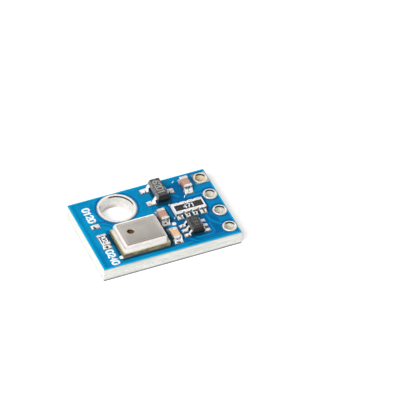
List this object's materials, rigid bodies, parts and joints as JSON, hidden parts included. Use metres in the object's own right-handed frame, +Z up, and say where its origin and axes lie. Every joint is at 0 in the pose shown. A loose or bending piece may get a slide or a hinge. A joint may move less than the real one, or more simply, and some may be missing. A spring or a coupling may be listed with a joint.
{
  "type": "temperature humidity sensor module",
  "caption": "Small blue circuit board with a metal-lidded humidity and temperature sensor, a regulator, a level-shifting transistor pair, chip parts, plated pin holes and a mounting hole.",
  "frame": {"origin": "centre of the board's underside, on the plane of its bare lands", "axes": "+X along the board's long side towards the row of pin holes, +Y to the long side with the mounting hole, +Z up out of the side that carries the parts"},
  "size_m": [0.0152, 0.01, 0.0032],
  "materials": {
    "laminate": "pale glass-fibre laminate, seen at the board's cut edges and in the holes",
    "blue_mask": "glossy blue solder mask with faint ridges over the traces",
    "tin": "bright tin and solder, rippled on the terminals",
    "substrate": "olive-brown laminate of the sensor with brown cut sides",
    "lid_metal": "warm grey drawn metal, satin on top and bright at the rounded rim",
    "silicon": "dark bare silicon under the vent",
    "black_moulding": "dark grey moulding compound, fine grained",
    "white_ceramic": "white alumina of the chip resistors",
    "resistor_coating": "black glaze over the resistors, with a plain white number",
    "pink_ceramic": "pink-brown capacitor ceramic, faintly glossy",
    "tan_ceramic": "tan capacitor ceramic, faintly glossy"
  },
  "bodies": {
    "root": {"address_resistor_body": "white_ceramic", "address_resistor_coating": "resistor_coating", "address_resistor_terminal_back": "tin", "address_resistor_terminal_front": "tin", "back_capacitor_body": "pink_ceramic", "back_capacitor_terminal_back": "tin", "back_capacitor_terminal_front": "tin", "bare_select_pad": "tin", "board_laminate": "laminate", "dual_transistor_body": "black_moulding", "dual_transistor_lead_1": "tin", "dual_transistor_lead_2": "tin", "dual_transistor_lead_3": "tin", "dual_transistor_lead_4": "tin", "dual_transistor_lead_5": "tin", "dual_transistor_lead_6": "tin", "front_capacitor_body": "tan_ceramic", "front_capacitor_terminal_back": "tin", "front_capacitor_terminal_front": "tin", "middle_capacitor_body": "pink_ceramic", "middle_capacitor_terminal_back": "tin", "middle_capacitor_terminal_front": "tin", "mounting_hole_plating": "tin", "pin_hole_plating_1": "tin", "pin_hole_plating_2": "tin", "pin_hole_plating_3": "tin", "pin_hole_plating_4": "tin", "regulator_body": "black_moulding", "regulator_lead_1": "tin", "regulator_lead_2": "tin", "regulator_lead_3": "tin", "resistor_array_body": "white_ceramic", "resistor_array_coating": "resistor_coating", "resistor_array_terminal_1": "tin", "resistor_array_terminal_2": "tin", "resistor_array_terminal_3": "tin", "resistor_array_terminal_4": "tin", "resistor_array_terminal_5": "tin", "resistor_array_terminal_6": "tin", "resistor_array_terminal_7": "tin", "resistor_array_terminal_8": "tin", "sensor_humidity_die": "silicon", "sensor_lid": "lid_metal", "sensor_signal_die": "silicon", "sensor_solder_joint_1": "tin", "sensor_solder_joint_2": "tin", "sensor_solder_joint_3": "tin", "sensor_solder_joint_4": "tin", "sensor_solder_joint_5": "tin", "sensor_solder_joint_6": "tin", "sensor_substrate": "substrate", "solder_mask_bottom": "blue_mask", "solder_mask_top": "blue_mask"}
  },
  "joints": []
}
